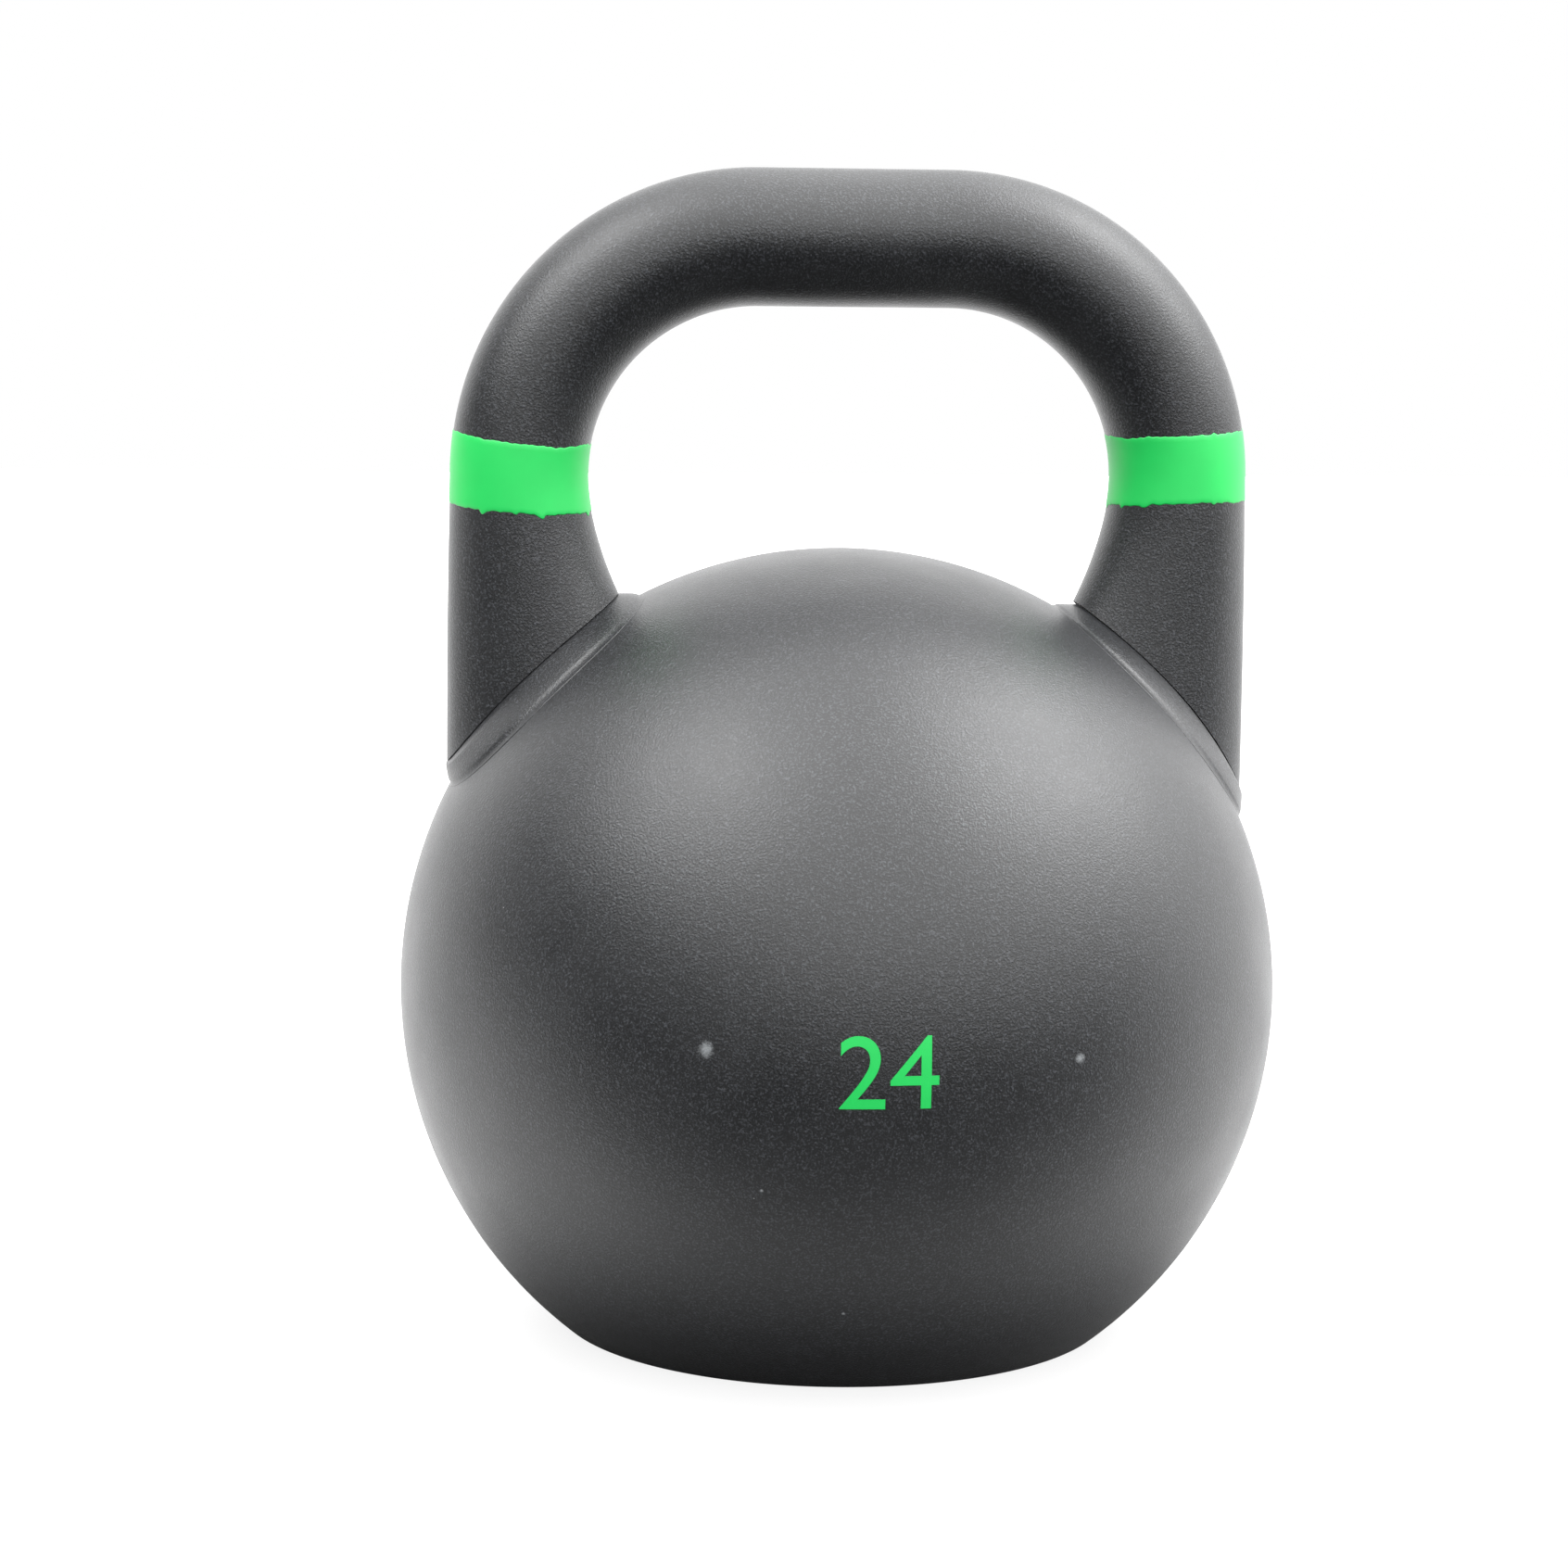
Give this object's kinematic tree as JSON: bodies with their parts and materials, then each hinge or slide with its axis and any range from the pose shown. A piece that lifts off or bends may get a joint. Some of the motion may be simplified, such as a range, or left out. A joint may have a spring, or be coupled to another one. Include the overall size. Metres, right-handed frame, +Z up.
{
  "type": "competition kettlebell",
  "caption": "Hollow cast ball with a flat foot and a bent grip handle whose flared horns stand on raised collars, black powder coat with green colour bands.",
  "frame": {"origin": "centre of the flat foot, on the floor plane", "axes": "+Z up through the ball and the handle, +X along the grip, the face with the weight mark looks along -Y"},
  "size_m": [0.21, 0.21, 0.276],
  "materials": {
    "black_powder_coat": "satin black powder coat on cast steel, fine grain",
    "green_paint": "bright green sprayed enamel film",
    "zinc_plate": "zinc plated steel",
    "seal_rubber": "moulded black rubber",
    "ballast": "steel shot set in resin"
  },
  "bodies": {
    "root": {"ball_shell": "black_powder_coat", "handle": "black_powder_coat", "left_collar": "black_powder_coat", "right_collar": "black_powder_coat", "core_plug": "zinc_plate", "plug_seal": "seal_rubber", "trim_ballast": "ballast", "left_colour_band": "green_paint", "right_colour_band": "green_paint"}
  },
  "joints": []
}
